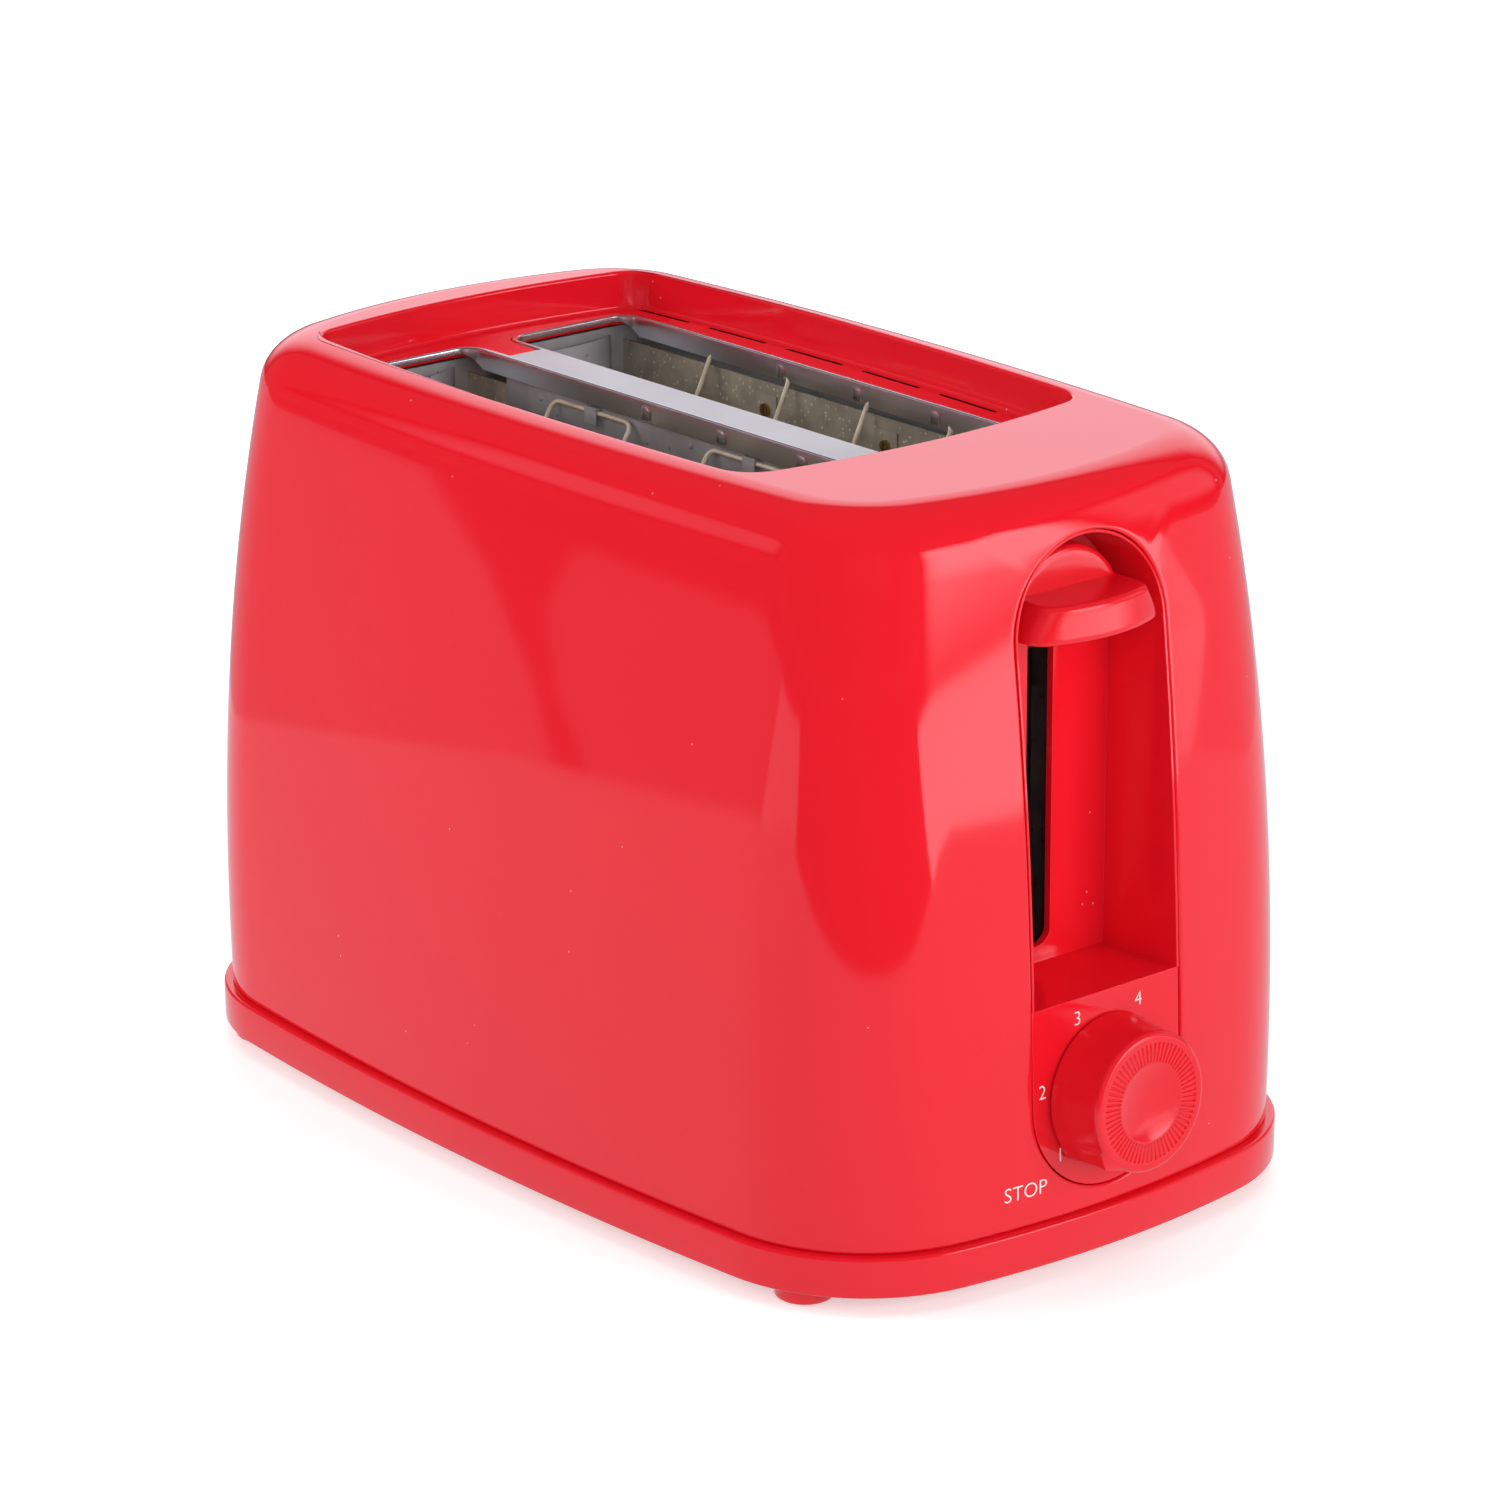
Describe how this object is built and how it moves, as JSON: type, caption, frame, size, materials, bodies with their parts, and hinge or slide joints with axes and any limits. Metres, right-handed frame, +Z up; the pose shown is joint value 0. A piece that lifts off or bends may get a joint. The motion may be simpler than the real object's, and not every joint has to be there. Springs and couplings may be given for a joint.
{
  "type": "pop up toaster",
  "caption": "Pop-up toaster with a glossy moulded shell, long bread slots, a spring-return lever, a browning dial and a pull-out crumb tray.",
  "frame": {"origin": "under the middle of the whole toaster's box, on the table", "axes": "+X to the lever and dial end, +Y to the far long side, +Z up"},
  "size_m": [0.2908, 0.17, 0.185],
  "materials": {
    "red_gloss": "high gloss red moulding",
    "bright_steel": "bright satin, light",
    "sheet_steel": "dull zinc-coated sheet",
    "mica_card": "speckled matt mica board",
    "heating_ribbon": "dull oxidised ribbon",
    "guard_wire": "heat-tinted wire",
    "brass": "plain",
    "plain_steel": "plain",
    "copper_coil": "enamelled winding",
    "board": "lacquered board",
    "black_plastic": "matt",
    "black_rubber": "matt"
  },
  "bodies": {
    "shell": {"housing": "red_gloss", "base": "red_gloss", "control_panel": "red_gloss", "slot_frame": "bright_steel", "front_plate": "sheet_steel", "rear_plate": "sheet_steel", "heat_shield_near": "sheet_steel", "heat_shield_far": "sheet_steel", "mica_outer_near": "mica_card", "mica_inner_near": "mica_card", "mica_inner_far": "mica_card", "mica_outer_far": "mica_card", "ribbon_outer_near": "heating_ribbon", "ribbon_inner_near": "heating_ribbon", "ribbon_inner_far": "heating_ribbon", "ribbon_outer_far": "heating_ribbon", "guards_outer_near": "guard_wire", "guards_inner_near": "guard_wire", "guards_inner_far": "guard_wire", "guards_outer_far": "guard_wire", "guard_rail_near": "sheet_steel", "guard_rail_far": "sheet_steel", "mica_eyelets": "brass", "top_bracket": "sheet_steel", "guide_rod": "plain_steel", "return_spring": "plain_steel", "magnet_yoke": "plain_steel", "magnet_coil": "copper_coil", "circuit_board": "board", "board_parts": "black_plastic", "dial_pot": "black_plastic", "switch_block": "black_plastic", "switch_leaves": "brass", "cord_gland": "black_rubber", "base_screws": "plain_steel", "board_screws": "plain_steel"},
    "lift": {"carriage": "sheet_steel", "lever_handle": "red_gloss", "keeper_plate": "plain_steel", "bread_rack_near": "sheet_steel", "bread_rack_far": "sheet_steel"},
    "dial": {"browning_knob": "red_gloss", "dial_shaft": "plain_steel"},
    "tray": {"crumb_tray": "sheet_steel", "tray_grip": "red_gloss"}
  },
  "joints": [
    {"name": "lever_slide", "type": "slide", "parent": "shell", "child": "lift", "axis": [0, 0, -1], "range_m": [0, 0.078], "stiffness_N_per_m": 40, "springref_m": -0.06, "deforming": ["return_spring"]},
    {"name": "dial_turn", "type": "hinge", "parent": "shell", "child": "dial", "pos_m": [0.12985, 0, 0.0421], "axis": [-0.9991, 0, -0.0419], "range_deg": [-20, 262]},
    {"name": "tray_slide", "type": "slide", "parent": "shell", "child": "tray", "axis": [-1, 0, 0], "range_m": [0, 0.18]}
  ]
}
